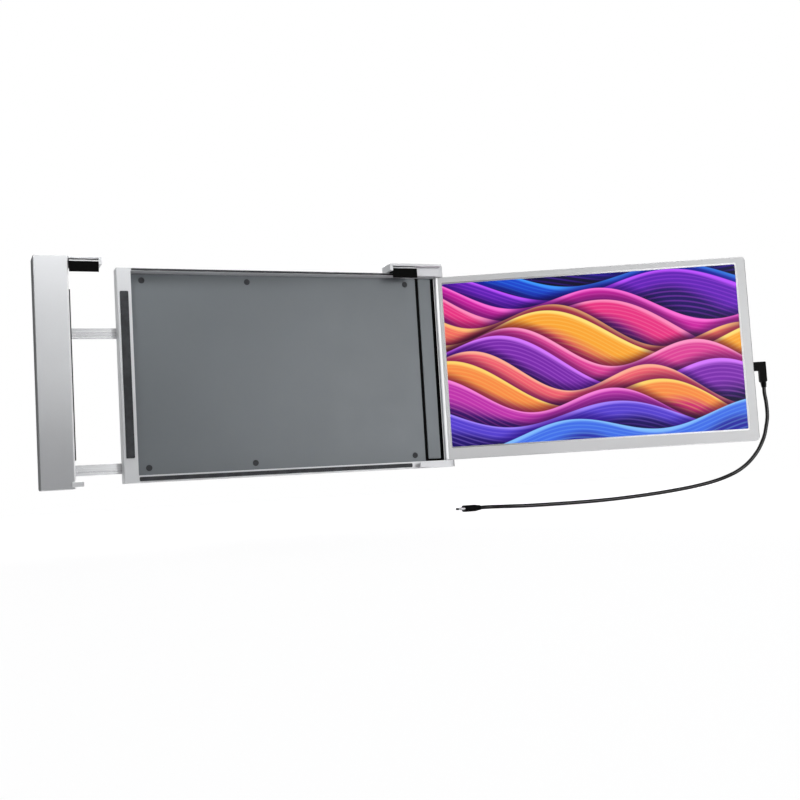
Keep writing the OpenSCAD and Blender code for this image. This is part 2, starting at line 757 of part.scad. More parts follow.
module left_hook_pad() color(rubber_grey) {
    block(-lid_x + 0.4, -lid_x + hook_reach + 0.2, panel_y0, -lid_t,
        left_hook_z0 + 0.6, left_hook_z0 + hook_h - 0.6);
}

module lid_side_pad() color(rubber_grey) {
    along_z(ear_z0 * 0.1, ear_z0 * 0.9) corner_rect(panel_x1, -4.5, panel_x1 + 1.2, -1, [0, 0.4, 0.4, 0]);
}

// ---------- top clips ----------

clip_plate_left_x0 = panel_x0 + panel_wall + 1;

// The plate's upper front edge is bevelled
module plate_section(y1) {
    polygon([[front_y, plate_z0], [y1, plate_z0], [y1, plate_z1], [front_y + 0.4, plate_z1],
        [front_y, plate_z1 - 0.4]]);
}

module right_clip_cover() color(silver) {
    along_x(clip_right_x, plate_x1) plate_section(clip_back_y);
    block(clip_right_x, clip_right_x + clip_wall, front_y, clip_back_y, web_z0, plate_z0 + over);
    tab_y1 = blade_y + blade_t + 1;
    block(blade_right_x - 1, blade_right_x + blade_w + 1, clip_back_y - over, tab_y1,
        plate_z0, plate_z1);
    block(blade_right_x - 1, blade_right_x + blade_w + 1, blade_y + blade_t, tab_y1,
        web_z0, plate_z0 + over);
}

module left_clip_cover() color(silver) {
    outer_x = panel_x1 + body_gap;
    along_x(outer_x, clip_left_x) plate_section(clip_back_y);
    block(clip_plate_left_x0, outer_x + over, panel_y0 + panel_wall + 0.4,
        panel_cover_y - body_gap, plate_z0, plate_z1);
    block(clip_left_x - clip_wall, clip_left_x, front_y, clip_back_y, web_z0, plate_z0 + over);
}

module jaw_section() {
    polygon([
        [front_y, lip_z0 + 0.6], [front_y + 0.6, lip_z0], [front_y + lip_t - 0.4, lip_z0],
        [front_y + lip_t, lip_z0 + 0.4], [front_y + lip_t, web_z0], [clip_back_y - 0.5, web_z0],
        [clip_back_y - 0.5, plate_z0], [front_y + 3.5, plate_z0], [front_y + 3.5, plate_z0 - 1.1],
        [front_y + 1.6, plate_z0 - 1.1], [front_y, plate_z0 - 2.8]
    ]);
}

module right_clip_jaw() color(black_plastic) {
    x0 = clip_right_x + clip_wall;
    difference() {
        along_x(x0, x0 + jaw_w) jaw_section();
        block(ear_x0 - body_gap, x0 + jaw_w + over, -0.6, clip_back_y, web_z0 - over, plate_z0 + over);
    }
}

module left_clip_jaw() color(black_plastic) {
    x1 = clip_left_x - clip_wall;
    along_x(x1 - jaw_w, x1) jaw_section();
}

// Rubber lining of a jaw: one strip behind the lip and one under the web
module clip_pad(x0, x1) {
    along_x(x0, x1) polygon([
        [front_y + lip_t, lip_z0 + 1.2], [-lid_t, lip_z0 + 1.2], [-lid_t, web_z0 - lining_t],
        [-0.6, web_z0 - lining_t], [-0.6, web_z0], [front_y + lip_t, web_z0]
    ]);
}

module right_clip_pad() color(rubber_grey) {
    clip_pad(clip_right_x + clip_wall + 0.5, clip_right_x + clip_wall + jaw_w - 0.5);
}

module left_clip_pad() color(rubber_grey) {
    clip_pad(clip_left_x - clip_wall - jaw_w + 0.5, clip_left_x - clip_wall - 0.5);
}

// Steel blade with a window for its spring and a round-ended foot
module clip_blade(x0) {
    difference() {
        along_y(blade_y, blade_y + blade_t)
            corner_rect(x0, blade_z0, x0 + blade_w, plate_z0, [2, 2, 0, 0]);
        block(x0 + (blade_w - window_w) / 2, x0 + (blade_w + window_w) / 2,
            blade_y - over, blade_y + blade_t + over, window_z0, spring_z1);
    }
}

module right_clip_blade() color(steel) {
    clip_blade(blade_right_x);
}

module left_clip_blade() color(steel) {
    clip_blade(blade_left_x);
}

// ---------- stand ----------

module stand_plate() color(silver) {
    half = stand_w / 2;
    y0 = back_y - stand_t;
    difference() {
        union() {
            along_y(y0, back_y)
                corner_rect(-half, stand_axis_z, half, stand_axis_z + stand_l, [0, 0, 3.5, 3.5]);
            for (side = [-1, 1])
                translate([side > 0 ? knuckle_w / 2 + body_gap : -half + knuckle_w + body_gap,
                    stand_axis_y, stand_axis_z]) rotate([0, 90, 0])
                    cylinder(r = knuckle_r, h = half - 1.5 * knuckle_w - 2 * body_gap, $fn = 32);
        }
        for (x = [-half, -knuckle_w / 2, half - knuckle_w])
            block(x - body_gap, x + knuckle_w + body_gap, trough_y - over, back_y + over,
                stand_axis_z - over, stand_axis_z + knuckle_r + 0.6);
        translate([-half - over, stand_axis_y, stand_axis_z]) rotate([0, 90, 0])
            cylinder(r = stand_pin_r + pin_gap, h = stand_w + 2 * over, $fn = 32);
        // seat of the rubber foot
        block(-half + 8, half - 8, y0 - over, back_y + over,
            stand_axis_z + stand_l - stand_foot_h, stand_axis_z + stand_l + over);
    }
}

module stand_foot() color(rubber_grey) {
    half = stand_w / 2 - 8;
    block(-half, half, back_y - stand_t, back_y,
        stand_axis_z + stand_l - stand_foot_h, stand_axis_z + stand_l);
}

// ---------- screen ----------

module screen_outer() {
    intersection() {
        along_z(screen_z0, screen_z1) {
            circle(barrel_r);
            corner_rect(0, -barrel_r, reach, barrel_r, [0, 0.8, 1.6, 0]);
        }
        along_y(-barrel_r - over, barrel_r + over)
            corner_rect(-barrel_r - over, screen_z0, reach, screen_z1,
                [0, screen_corner_r, screen_corner_r, 0]);
        along_x(-barrel_r - over, reach + over) polygon([
            [-barrel_r - over, screen_z0 + over * 2], [-barrel_r + over, screen_z0],
            [barrel_r - 1, screen_z0], [barrel_r, screen_z0 + 1],
            [barrel_r, screen_z1 - 1], [barrel_r - 1, screen_z1],
            [-barrel_r + over, screen_z1], [-barrel_r - over, screen_z1 - over * 2]
        ]);
    }
}

module window_outline(grow) {
    r = window_r + grow;
    corner_rect(display_x0 - grow, display_z0 - grow, display_x0 + display_w + grow, display_z1 + grow,
        [r, r, r, r]);
}

// The display's window, bevelled towards the front
module window_cut() {
    cut_y = -barrel_r - over;
    along_y(bevel_y - layer, split_y + over) window_outline(0);
    hull() {
        along_y(bevel_y - layer, bevel_y) window_outline(0);
        along_y(cut_y, cut_y + layer) window_outline(bevel_w * (bevel_y - cut_y) / (bevel_y + barrel_r));
    }
}

module screen_bezel() color(silver) on_screen() difference() {
    screen_outer();
    block(-barrel_r - over, reach + over, split_y, barrel_r + over, screen_z0 - over, screen_z1 + over);
    window_cut();
}

module edge_slot(z, long, wide, y = 0) {
    translate([inside_x1 - over, y, z]) rotate([90, 0, 90])
        linear_extrude(cover_wall + 2 * over) pill(long, wide);
}

module screen_rear_cover() color(silver) on_screen() difference() {
    screen_outer();
    block(-barrel_r - over, reach + over, -barrel_r - over, split_y, screen_z0 - over, screen_z1 + over);
    block(inside_x0, inside_x1, split_y - over, cover_y, inside_z0, inside_z1);
    for (z0 = [screen_z0 - over, screen_z1 - sleeve_l])
        translate([0, 0, z0]) cylinder(r = sleeve_r + seat_gap, h = sleeve_l + over);
    for (z = socket_z) edge_slot(z, socket_w + 0.4, socket_t + 0.4);
    edge_slot(hdmi_z, 12.8, 3.2);
    for (z = key_z) edge_slot(z, key_h + 2 * body_gap, key_w + 2 * body_gap);
    // sound holes in the lower edge
    for (x0 = speaker_x) for (i = [0 : 9])
        translate([x0 + 3 + 4 * i, 0.5, screen_z0 - over]) cylinder(r = 0.7, h = cover_wall + 2 * over, $fn = 16);
}

module lcd_panel() color(magenta) on_screen() {
    block(display_x0 - lcd_over, display_x0 + display_w + 2, split_y, split_y + lcd_t,
        display_z0 - 2, display_z1 + 2);
}

module backlight_plate() color(steel) on_screen() {
    block(display_x0 - lcd_over, display_x0 + display_w + 2, split_y + lcd_t,
        split_y + lcd_t + plate_back_t, display_z0 - 2, display_z1 + 2);
}

module driver_board() color([0.05, 0.25, 0.12]) on_screen() {
    block(board_x0, inside_x1 - board_margin, board_y, cover_y, hdmi_z - board_down, hdmi_z + board_up);
}

module board_parts() color(black_plastic) on_screen() {
    for (p = [[12, -40, 14, 14], [12, -12, 10, 12], [14, 18, 7, 7], [32, 30, 5, 5]])
        block(board_x0 + p[0], board_x0 + p[0] + p[2], board_y - 1.1, board_y,
            hdmi_z + p[1], hdmi_z + p[1] + p[3]);
}

module socket_shape(z, length, wide, thick, wall) {
    translate([reach - 0.3 - length, 0, z]) rotate([90, 0, 90]) difference() {
        linear_extrude(length) pill(wide, thick);
        translate([0, 0, 1]) linear_extrude(length) pill(wide - 2 * wall, thick - 2 * wall);
    }
}

module usb_c_sockets() color(steel) on_screen() {
    for (z = socket_z) {
        socket_shape(z, socket_l, socket_w, socket_t, socket_wall);
        // contact tongue
        block(reach - 0.3 - socket_l + 0.8, reach - 1.4, -0.35, 0.35, z - 3.2, z + 3.2);
    }
}

module hdmi_outline(inset) {
    y = board_y - inset;
    z = 5.3 - inset;
    polygon([[-1.4 + inset, -z], [0.4, -z], [y, -z + 1.2], [y, z - 1.2], [0.4, z], [-1.4 + inset, z]]);
}

module mini_hdmi_socket() color(steel) on_screen()
    translate([reach - 0.3 - socket_l, 0, hdmi_z]) rotate([90, 0, 90]) {
        difference() {
            linear_extrude(socket_l) hdmi_outline(0);
            translate([0, 0, 1]) linear_extrude(socket_l) hdmi_outline(socket_wall);
        }
        translate([-0.3, -3.8, 0.8]) cube([0.6, 7.6, socket_l - 2]);
    }

module speakers() color(black_plastic) on_screen() {
    for (x0 = speaker_x)
        along_y(0.6, cover_y) corner_rect(x0, inside_z0, x0 + speaker_l, inside_z0 + speaker_h, [0, 0, 2, 2]);
}

module hinge_sleeves() color([0.66, 0.55, 0.30]) on_screen() {
    for (z0 = [screen_z0, screen_z1 - sleeve_l]) translate([0, 0, z0]) difference() {
        cylinder(r = sleeve_r, h = sleeve_l);
        translate([0, 0, -over]) cylinder(d = pin_d + 2 * pin_gap, h = sleeve_l + 2 * over);
    }
}

// Switches behind the three keys, on the driver board's edge
module key_switches() color(black_plastic) on_screen() {
    x1 = inside_x1 - body_gap - key_flange - key_travel - guide_gap;
    for (z = key_z) block(x1 - 3, x1, -1.5, board_y, z - 1.8, z + 1.8);
}

module edge_key(z) {
    on_screen() translate([inside_x1 - key_flange - body_gap, 0, z]) rotate([90, 0, 90]) {
        linear_extrude(key_flange) pill(key_h + 2, key_w + 1.6);
        linear_extrude(key_flange + body_gap + cover_wall + key_proud) pill(key_h, key_w);
    }
}

module power_button() color(dark_silver) edge_key(key_z[0]);

module plus_button() color(dark_silver) edge_key(key_z[1]);

module minus_button() color(dark_silver) edge_key(key_z[2]);

// ---------- plugs and cord ----------

module angle_plug() color(black_plastic) on_screen() {
    half = plug_t / 2;
    along_y(-half, half) {
        corner_rect(stem_x0, stem_z1 - stem_h, stem_x1 + 3, stem_z1, [0.6, 0, 0, 0.6]);
        polygon([
            [stem_x1, body_z0 + 1.4], [stem_x1 + 1.4, body_z0], [body_x1 - 1.6, body_z0],
            [body_x1, body_z0 + 1.6], [body_x1, stem_z1 - 0.6], [body_x1 - 0.6, stem_z1], [stem_x1, stem_z1]
        ]);
    }
}

module angle_plug_tip() color(steel) on_screen() {
    translate([stem_x0, 0, socket_z[0]]) rotate([90, 0, -90]) difference() {
        linear_extrude(5.4) pill(tip_w, tip_t);
        translate([0, 0, -over]) linear_extrude(5.4 + 2 * over) pill(tip_w - 0.7, tip_t - 0.7);
    }
}

module relief_rings(length, r0, r1) {
    cylinder(r1 = r0, r2 = r1, h = length);
    for (i = [0 : 3]) translate([0, 0, 0.5 + i * length / 4.4])
        cylinder(r = r0 + 0.35 - i * (r0 - r1) / 4, h = length / 9);
}

module angle_plug_relief() color(black_plastic) on_screen() {
    translate([relief_x, 0, body_z0]) mirror([0, 0, 1])
        relief_rings(relief_l, 2.8, cord_d / 2 + 0.25);
}

// Catmull-Rom curve through a list of points
function spline_at(p, i, t) =
    let (n = len(p) - 1, a = p[max(i - 1, 0)], b = p[i], c = p[min(i + 1, n)], d = p[min(i + 2, n)])
    0.5 * ((2 * b) + (c - a) * t + (2 * a - 5 * b + 4 * c - d) * t * t
        + (3 * b - a - 3 * c + d) * t * t * t);

function unit(v) = v / norm(v);

module swept_tube(points, r, sides, steps) {
    last = len(points) - 1;
    path = concat([for (i = [0 : last - 1]) for (s = [0 : steps - 1]) spline_at(points, i, s / steps)],
        [points[last]]);
    n = len(path) - 1;
    side = [0.3, 0.95, 0];
    rings = [for (i = [0 : n])
        let (ahead = i == 0 ? unit(points[1] - points[0])
                : i == n ? unit(points[last] - points[last - 1])
                : unit(path[i + 1] - path[i - 1]),
            u = unit(cross(ahead, side)), v = cross(ahead, u))
        for (k = [0 : sides - 1])
            path[i] + r * (cos(360 * k / sides) * u + sin(360 * k / sides) * v)];
    faces = concat(
        [[for (k = [0 : sides - 1]) k]],
        [for (i = [0 : n - 1]) for (k = [0 : sides - 1])
            let (a = i * sides + k, b = i * sides + (k + 1) % sides)
            [b, a, a + sides, b + sides]],
        [[for (k = [sides - 1 : -1 : 0]) n * sides + k]]
    );
    polyhedron(rings, faces, convexity = 10);
}

module cord() color(black_plastic) swept_tube(cord_points, cord_d / 2, 8, 3);

module far_plug() color(black_plastic) {
    half = plug_t / 2;
    x1 = far_x - far_relief_l;
    translate([x1, far_y, far_z]) rotate([90, 0, -90]) {
        linear_extrude(far_body_l) pill2(11, plug_t);
    }
}

// Slot outline with round ends, longer along X
module pill2(long, wide) {
    rotate(90) pill(long, wide);
}

module far_plug_tip() color(steel) {
    x1 = far_x - far_relief_l - far_body_l;
    translate([x1, far_y, far_z]) rotate([90, 0, -90]) difference() {
        linear_extrude(6.6) pill2(tip_w, tip_t);
        translate([0, 0, -over]) linear_extrude(6.6 + 2 * over) pill2(tip_w - 0.7, tip_t - 0.7);
    }
}

module far_plug_relief() color(black_plastic) {
    translate([far_x - far_relief_l, far_y, far_z]) rotate([0, 90, 0])
        relief_rings(far_relief_l, 2.5, cord_d / 2 + 0.2);
}

base_shell();
floor_panel();
hinge_upright();
upright_plate();
upper_ear();
lower_ear();
hinge_pins();
ear_screws();
seat_strips();
recess_bumpers();
right_hook();
right_hook_pad();
slide_guides();
base_screws();
rear_feet();
stand_pin();
right_clip_spring();
left_panel();
left_panel_back();
slide_rails();
arm_screws();
left_hook();
left_hook_pad();
lid_side_pad();
left_clip_spring();
right_clip_cover();
right_clip_jaw();
right_clip_pad();
right_clip_blade();
left_clip_cover();
left_clip_jaw();
left_clip_pad();
left_clip_blade();
stand_plate();
stand_foot();
screen_rear_cover();
screen_bezel();
lcd_panel();
backlight_plate();
driver_board();
board_parts();
usb_c_sockets();
mini_hdmi_socket();
speakers();
hinge_sleeves();
key_switches();
power_button();
plus_button();
minus_button();
angle_plug();
angle_plug_tip();
angle_plug_relief();
cord();
far_plug();
far_plug_tip();
far_plug_relief();
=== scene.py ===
"""Laptop screen extender: finishes, display picture, cord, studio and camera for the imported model.

The frame is the model's own: x runs to the right along the lid, y away from the user and z up.
Lengths are written in millimetres, and MM turns them into Blender's metres. Only the studio's
sizes and places and the camera's range are written in metres.
"""

import json
import math

import bmesh
import bpy
from mathutils import Matrix, Vector


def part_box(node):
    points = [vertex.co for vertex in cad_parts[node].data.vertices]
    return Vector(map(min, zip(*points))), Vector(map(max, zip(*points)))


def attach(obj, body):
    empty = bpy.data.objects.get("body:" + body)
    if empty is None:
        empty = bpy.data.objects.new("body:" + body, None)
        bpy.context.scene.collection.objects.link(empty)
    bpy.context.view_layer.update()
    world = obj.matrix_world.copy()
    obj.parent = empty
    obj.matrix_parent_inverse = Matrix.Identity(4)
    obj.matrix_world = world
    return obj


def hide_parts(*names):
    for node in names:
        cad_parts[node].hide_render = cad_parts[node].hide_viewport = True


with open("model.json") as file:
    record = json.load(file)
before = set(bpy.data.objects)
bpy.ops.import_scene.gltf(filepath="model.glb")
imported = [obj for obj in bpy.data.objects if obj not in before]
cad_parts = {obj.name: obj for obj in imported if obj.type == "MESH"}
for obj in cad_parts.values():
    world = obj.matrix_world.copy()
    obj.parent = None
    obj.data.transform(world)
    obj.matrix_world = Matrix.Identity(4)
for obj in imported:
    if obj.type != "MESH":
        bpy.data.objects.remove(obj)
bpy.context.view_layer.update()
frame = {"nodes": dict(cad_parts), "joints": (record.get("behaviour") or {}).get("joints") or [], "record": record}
body_of = {node: body for body, members in frame["record"]["behaviour"]["bodies"].items()
           for node in members}
screen_swing = next(joint for joint in frame["joints"] if joint["name"] == "screen_swing")

MM = 0.001
FLOOR_Z = -50 * MM
# A point on the screen's hinge axis, and the angle by which the screen is swung towards the user
HINGE = Vector((screen_swing["pos_m"][0], screen_swing["pos_m"][1], 0.0))
SCREEN_ANGLE = math.radians(25.3)
ALONG_SCREEN = Vector((math.cos(SCREEN_ANGLE), -math.sin(SCREEN_ANGLE), 0))
TO_VIEWER = Vector((-math.sin(SCREEN_ANGLE), -math.cos(SCREEN_ANGLE), 0))
# The display on the screen: its left edge from the hinge axis, its lower edge and its width
DISPLAY_X0, DISPLAY_Z0, DISPLAY_W = 4.3, 17.0, 310.0


def new_object(name, data):
    """An object of the given data, placed in the scene."""
    thing = bpy.data.objects.new(name, data)
    bpy.context.scene.collection.objects.link(thing)
    return thing


# ---------- camera ----------

# Solved from the photograph: the lens on a 36 mm sensor, the camera's place, the way it looks
# and the way that is upright in its picture
SENSOR = 36.0
LENS = 50.38
CAMERA_PLACE = (-296.55, -1068.1, -25.5)
CAMERA_LOOK = (0.387, 0.9185, 0.0805)
CAMERA_UPRIGHT = (0.0247, -0.0976, 0.9949)
# The nearest and farthest that it sees, in metres
RANGE_NEAR, RANGE_FAR = 0.05, 40.0


def make_camera():
    data = bpy.data.cameras.new("camera")
    data.sensor_width = SENSOR
    data.lens = LENS
    data.clip_start, data.clip_end = RANGE_NEAR, RANGE_FAR
    camera = new_object("camera", data)
    back = -Vector(CAMERA_LOOK).normalized()
    right = Vector(CAMERA_UPRIGHT).cross(back).normalized()
    axes = Matrix((right, back.cross(right), back)).transposed().to_4x4()
    camera.matrix_world = Matrix.Translation(Vector(CAMERA_PLACE) * MM) @ axes
    bpy.context.scene.camera = camera


# ---------- material building ----------

# Places of the colour sockets on a Mix node, which has sockets for every kind of data
MIX_FIRST, MIX_SECOND, MIX_RESULT = 6, 7, 2
# The values between which nearly all of a noise lies
NOISE_LOW, NOISE_HIGH = 0.3, 0.7


def linear(red, green, blue):
    """A screen colour from 0 to 255 as linear light, with full alpha."""
    def channel(value):
        part = value / 255
        return part / 12.92 if part <= 0.04045 else ((part + 0.055) / 1.055) ** 2.4
    return (channel(red), channel(green), channel(blue), 1.0)


def toned(colour, factor, lift=0.0):
    """A colour made deeper or paler by a factor, and then paler all over by lift."""
    return [channel * factor + lift for channel in colour[:3]] + [1.0]


def rays_to_white(nodes, links):
    """1 for camera, glossy and transmission rays, and 0 for the rays that carry light."""
    path = nodes.new("ShaderNodeLightPath")
    seen = path.outputs["Is Camera Ray"]
    for ray in ("Is Glossy Ray", "Is Transmission Ray"):
        either = nodes.new("ShaderNodeMath")
        either.operation = "MAXIMUM"
        links.new(seen, either.inputs[0])
        links.new(path.outputs[ray], either.inputs[1])
        seen = either.outputs[0]
    return seen


class Graph:
    """Short calls that build one material's nodes. A pattern's size is how many go to the metre."""

    def __init__(self, name):
        self.material = bpy.data.materials.new(name)
        self.material.use_nodes = True
        self.nodes = self.material.node_tree.nodes
        self.links = self.material.node_tree.links
        self.shader = self.nodes["Principled BSDF"]
        self.object = self.nodes.new("ShaderNodeTexCoord").outputs["Object"]

    def put(self, socket, value):
        """Links an output to a socket, or sets the socket to a plain value."""
        if isinstance(value, bpy.types.NodeSocket):
            self.links.new(value, socket)
        else:
            socket.default_value = value

    def set(self, **values):
        """Sets the shader's sockets: base_color stands for Base Color."""
        for name, value in values.items():
            title = name.replace("_", " ").title().replace("Ior", "IOR")
            self.put(self.shader.inputs[title], value)

    def math(self, operation, first, second=0.0, third=0.0, clamp=False):
        node = self.nodes.new("ShaderNodeMath")
        node.operation = operation
        node.use_clamp = clamp
        for socket, value in zip(node.inputs, (first, second, third)):
            self.put(socket, value)
        return node.outputs[0]

    def remap(self, value, low, high, to_low=0.0, to_high=1.0, smooth=False):
        """What runs from low to high, made to run from to_low to to_high and to stop there."""
        node = self.nodes.new("ShaderNodeMapRange")
        node.interpolation_type = "SMOOTHSTEP" if smooth else "LINEAR"
        for socket, item in zip(node.inputs, (value, low, high, to_low, to_high)):
            self.put(socket, item)
        return node.outputs[0]

    def spread(self, noise, to_low=0.0, to_high=1.0):
        """A noise, made to run all the way from to_low to to_high."""
        return self.remap(noise, NOISE_LOW, NOISE_HIGH, to_low, to_high)

    def mix(self, factor, first, second, blend="MIX"):
        node = self.nodes.new("ShaderNodeMix")
        node.data_type = "RGBA"
        node.blend_type = blend
        self.put(node.inputs[0], factor)
        self.put(node.inputs[MIX_FIRST], first)
        self.put(node.inputs[MIX_SECOND], second)
        return node.outputs[MIX_RESULT]

    def ramp(self, factor, stops):
        """The colour at a factor between 0 and 1, from stops of a place and a colour."""
        node = self.nodes.new("ShaderNodeValToRGB")
        elements = node.color_ramp.elements
        while len(elements) < len(stops):
            elements.new(0.5)
        for element, (place, colour) in zip(elements, stops):
            element.position = place
            element.color = colour
        self.put(node.inputs[0], factor)
        return node.outputs[0]

    def moved(self, location=(0, 0, 0), rotation=(0, 0, 0), scale=(1, 1, 1)):
        """Object coordinates, scaled, turned and moved."""
        node = self.nodes.new("ShaderNodeMapping")
        node.inputs["Location"].default_value = location
        node.inputs["Rotation"].default_value = rotation
        node.inputs["Scale"].default_value = scale
        self.links.new(self.object, node.inputs["Vector"])
        return node.outputs[0]

    def noise(self, per_metre, detail=2.0, rough=0.5, vector=None):
        node = self.nodes.new("ShaderNodeTexNoise")
        self.put(node.inputs["Vector"], vector or self.object)
        self.put(node.inputs["Scale"], per_metre)
        self.put(node.inputs["Detail"], detail)
        self.put(node.inputs["Roughness"], rough)
        return node.outputs[0]

    def cells(self, per_metre, feature="F1"):
        """The distance from the middle of the nearest of many scattered cells."""
        node = self.nodes.new("ShaderNodeTexVoronoi")
        node.feature = feature
        self.put(node.inputs["Vector"], self.object)
        self.put(node.inputs["Scale"], per_metre)
        return node.outputs["Distance"]

    def bump(self, height, depth, strength):
        """Relief from a height of 0 to 1, depth millimetres deep."""
        node = self.nodes.new("ShaderNodeBump")
        self.put(node.inputs["Height"], height)
        self.put(node.inputs["Distance"], depth * MM)
        self.put(node.inputs["Strength"], strength)
        self.put(self.shader.inputs["Normal"], node.outputs[0])

    def length(self, vector):
        node = self.nodes.new("ShaderNodeVectorMath")
        node.operation = "LENGTH"
        self.links.new(vector, node.inputs[0])
        return node.outputs["Value"]

    def xyz(self, vector):
        node = self.nodes.new("ShaderNodeSeparateXYZ")
        self.links.new(vector, node.inputs[0])
        return node.outputs


# ---------- finishes ----------

# Height at which the painted shade that darkens a panel towards the bottom ends
PAINTED_SHADE_TOP = 110
# Distances along the screen between which the painted reflection on its window's bevel turns from painted shade to
# a painted highlight
BEVEL_DIM_X, BEVEL_BRIGHT_X = 40, 270
# Copper tracks to the metre on the circuit board
TRACKS = 420
# Radians of weave to the metre in the speakers' cloth, which makes it repeat every 0.7 mm
WEAVE_RATE = 9000


def on_screen(graph):
    """Object coordinates in the screen's own frame: x along it from the hinge, z up."""
    origin = Matrix.Rotation(SCREEN_ANGLE, 4, "Z") @ -HINGE
    return graph.moved(location=origin, rotation=(0, 0, SCREEN_ANGLE))


def silver_paint(name, base, metal=0.04, rough=0.42, gloss=0.3, bottom_shade=1.0):
    """Fine metallic paint: tiny flakes, soft broad cloudiness and a slight orange peel.
    A last argument below 1 paints shade on it that darkens it towards the bottom."""
    graph = Graph(name)
    flakes = graph.cells(2600)
    cloud = graph.remap(graph.noise(9, detail=3), 0.35, 0.65)
    colour = graph.mix(cloud, toned(base, 0.96), toned(base, 1.02))
    colour = graph.mix(graph.remap(flakes, 0.1, 0.8, 0.10, 0.0), colour, toned(base, 1.5))
    # Painted shade: darker towards the bottom, standing in for the light that falls less there
    if bottom_shade < 1:
        height = graph.xyz(graph.object)[2]
        low = graph.mix(1.0, colour, (bottom_shade, bottom_shade, bottom_shade * 1.01, 1), "MULTIPLY")
        colour = graph.mix(graph.remap(height, 0.0, PAINTED_SHADE_TOP * MM, smooth=True), low, colour)
    graph.set(base_color=colour, metallic=metal, specular_ior_level=gloss)
    graph.set(roughness=graph.spread(graph.noise(60, detail=4), rough - 0.02, rough + 0.03))
    peel = graph.math("ADD", graph.noise(900), graph.math("MULTIPLY", flakes, 0.25))
    graph.bump(peel, depth=0.02, strength=0.35)
    return graph.material


def lathe_lines(graph):
    """The hair-fine lines that a cutter leaves on a bright edge."""
    return graph.noise(500, detail=3, rough=0.6, vector=graph.moved(scale=(1, 1, 9)))


def polished_edge(name, base, metal=0.6, rough=0.22):
    """Cut and polished edge of the silver parts, painted paler than the faces beside it as a painted highlight."""
    graph = Graph(name)
    lines = lathe_lines(graph)
    graph.set(base_color=graph.mix(graph.spread(lines), toned(base, 0.96), base))
    graph.set(metallic=metal, roughness=graph.spread(lines, rough, rough + 0.06))
    graph.bump(lines, depth=0.01, strength=0.1)
    return graph.material


def painted_light_window_bevel(name, near, far):
    """Polished slopes round the display, with a painted reflection that runs from the dark near colour at the
    hinge to the bright far one.
    """
    graph = Graph(name)
    lines = lathe_lines(graph)
    along = graph.xyz(on_screen(graph))[0]
    # Painted reflection: dim near the hinge and bright further along the screen
    painted_light = graph.remap(along, BEVEL_DIM_X * MM, BEVEL_BRIGHT_X * MM, smooth=True)
    colour = graph.mix(painted_light, near, far)
    graph.set(base_color=graph.mix(graph.spread(lines, 0.05, 0.0), colour, (0.3, 0.3, 0.31, 1)))
    graph.set(metallic=0.3, roughness=graph.spread(lines, 0.25, 0.35))
    graph.bump(lines, depth=0.01, strength=0.2)
    return graph.material


def moulded_plastic(name, base, gloss, rough=0.5, grain=1500, depth=0.03):
    """Spark-eroded plastic: pebbled grain, slightly paler on the grain's tops."""
    graph = Graph(name)
    pebbles = graph.cells(grain, "SMOOTH_F1")
    patch = graph.noise(35, detail=3)
    tops = graph.math("MULTIPLY", graph.remap(pebbles, 0.5, 0.1), graph.spread(patch, 0.4, 1))
    graph.set(base_color=graph.mix(tops, base, toned(base, 1.5)), specular_ior_level=gloss)
    graph.set(roughness=graph.spread(patch, rough - 0.06, rough + 0.06))
    graph.bump(pebbles, depth, strength=0.5)
    return graph.material


def soft_rubber(name, base):
    """Silicone rubber: matt, with a powdery bloom and fine pits."""
    graph = Graph(name)
    pits = graph.cells(1900)
    bloom = graph.noise(70, detail=4, rough=0.6)
    powder = toned(base, 1.9, lift=0.006)
    graph.set(base_color=graph.mix(graph.remap(bloom, 0.4, 0.75), base, powder))
    graph.set(roughness=graph.spread(bloom, 0.78, 0.92), specular_ior_level=0.3)
    graph.bump(graph.math("ADD", pits, graph.noise(400, detail=3)), depth=0.04, strength=0.5)
    return graph.material


def brushed_metal(name, base, rough, lines):
    """Metal with brush lines and a little tarnish. Lines says how close together they lie along
    each axis."""
    graph = Graph(name)
    brushed = graph.noise(160, detail=5, rough=0.7, vector=graph.moved(scale=lines))
    tarnish = graph.remap(graph.noise(45, detail=3), 0.55, 0.8, 0, 0.35)
    deep = toned(base, 0.72)
    colour = graph.mix(graph.spread(brushed), deep, base)
    graph.set(base_color=graph.mix(tarnish, colour, deep), metallic=1.0)
    graph.set(roughness=graph.spread(brushed, rough - 0.06, rough + 0.12))
    graph.bump(brushed, depth=0.02, strength=0.3)
    return graph.material


def board_green(name):
    """Circuit board: solder mask over copper tracks that bend a little, with pale pads."""
    graph = Graph(name)
    height = graph.xyz(graph.object)[2]
    across = graph.math("PINGPONG", graph.math("MULTIPLY", height, TRACKS), 0.5)
    bend = graph.math("MULTIPLY", graph.noise(60, detail=1), 0.3)
    tracks = graph.remap(graph.math("ADD", across, bend), 0.42, 0.46)
    pads = graph.remap(graph.cells(330), 0.16, 0.13)
    colour = graph.mix(tracks, (0.004, 0.045, 0.018, 1), (0.010, 0.11, 0.045, 1))
    graph.set(base_color=graph.mix(pads, colour, (0.55, 0.50, 0.36, 1)))
    graph.set(metallic=graph.math("MULTIPLY", pads, 0.8))
    graph.set(roughness=graph.remap(pads, 0, 1, 0.32, 0.25))
    graph.bump(graph.math("MAXIMUM", tracks, pads), depth=0.04, strength=0.6)
    return graph.material


def chip_black(name):
    """Moulded chip packages with a fine sandy surface."""
    graph = Graph(name)
    sand = graph.noise(2400)
    graph.set(base_color=graph.mix(sand, (0.006, 0.006, 0.007, 1), (0.03, 0.03, 0.032, 1)))
    graph.set(roughness=graph.spread(sand, 0.5, 0.7))
    graph.bump(sand, depth=0.02, strength=0.5)
    return graph.material


